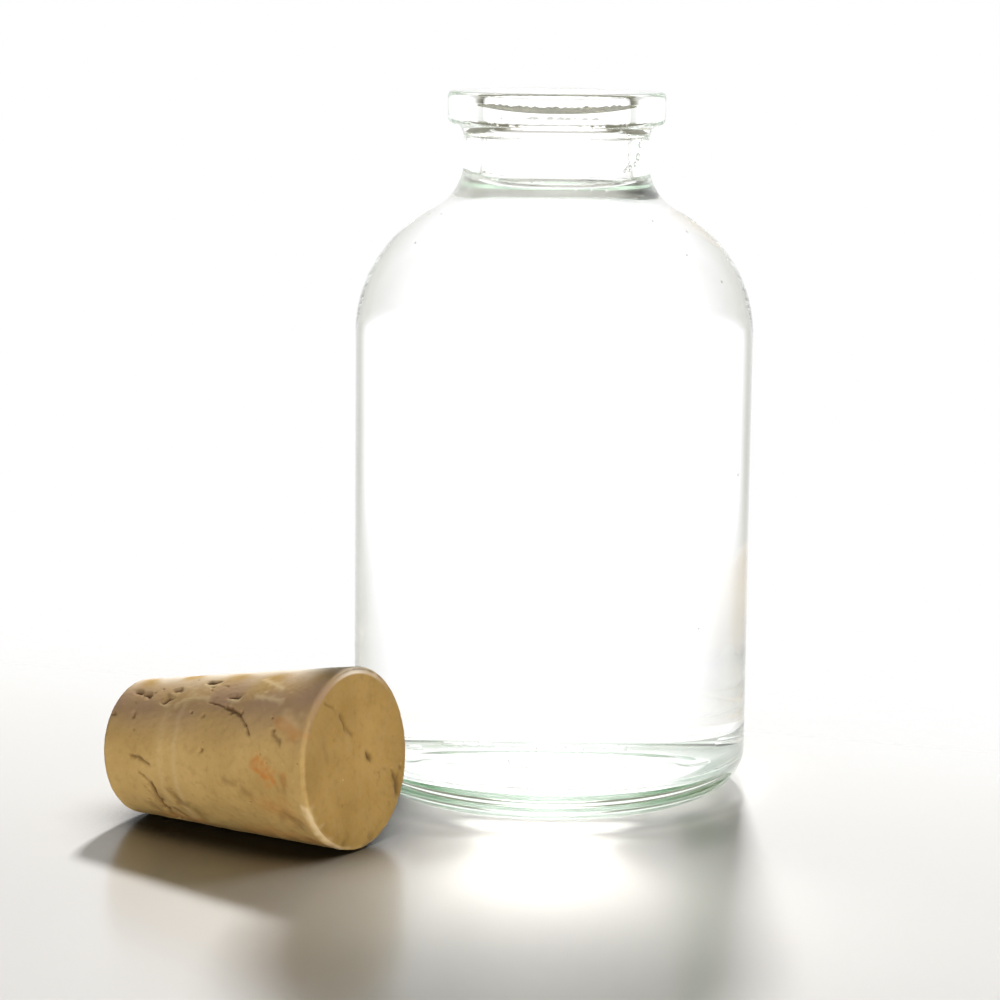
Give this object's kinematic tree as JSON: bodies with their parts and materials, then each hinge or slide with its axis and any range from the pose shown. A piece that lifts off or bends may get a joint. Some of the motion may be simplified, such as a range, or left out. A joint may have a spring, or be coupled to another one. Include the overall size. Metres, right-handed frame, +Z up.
{
  "type": "potion bottle",
  "caption": "Round clear glass bottle with a rounded shoulder, short neck and flat lip, filled with clear liquid; its tapered cork lies beside it and lifts away.",
  "frame": {"origin": "on the bottle's axis, in the plane that its foot ring and the cork stand on", "axes": "+Z up along the bottle's axis, +Y away from the viewer, +X to the viewer's right; the cork lies towards -X and -Y"},
  "size_m": [0.0789, 0.0678, 0.0882],
  "materials": {
    "glass": "polished",
    "liquid": "gloss",
    "cork": "matte"
  },
  "bodies": {
    "bottle": {"glass_bottle": "glass", "liquid_fill": "liquid"},
    "cork": {"cork_stopper": "cork"}
  },
  "joints": [
    {"name": "cork_lift", "type": "slide", "parent": "bottle", "child": "cork", "axis": [0, 0, 1], "range_m": [0, 0.1]}
  ]
}
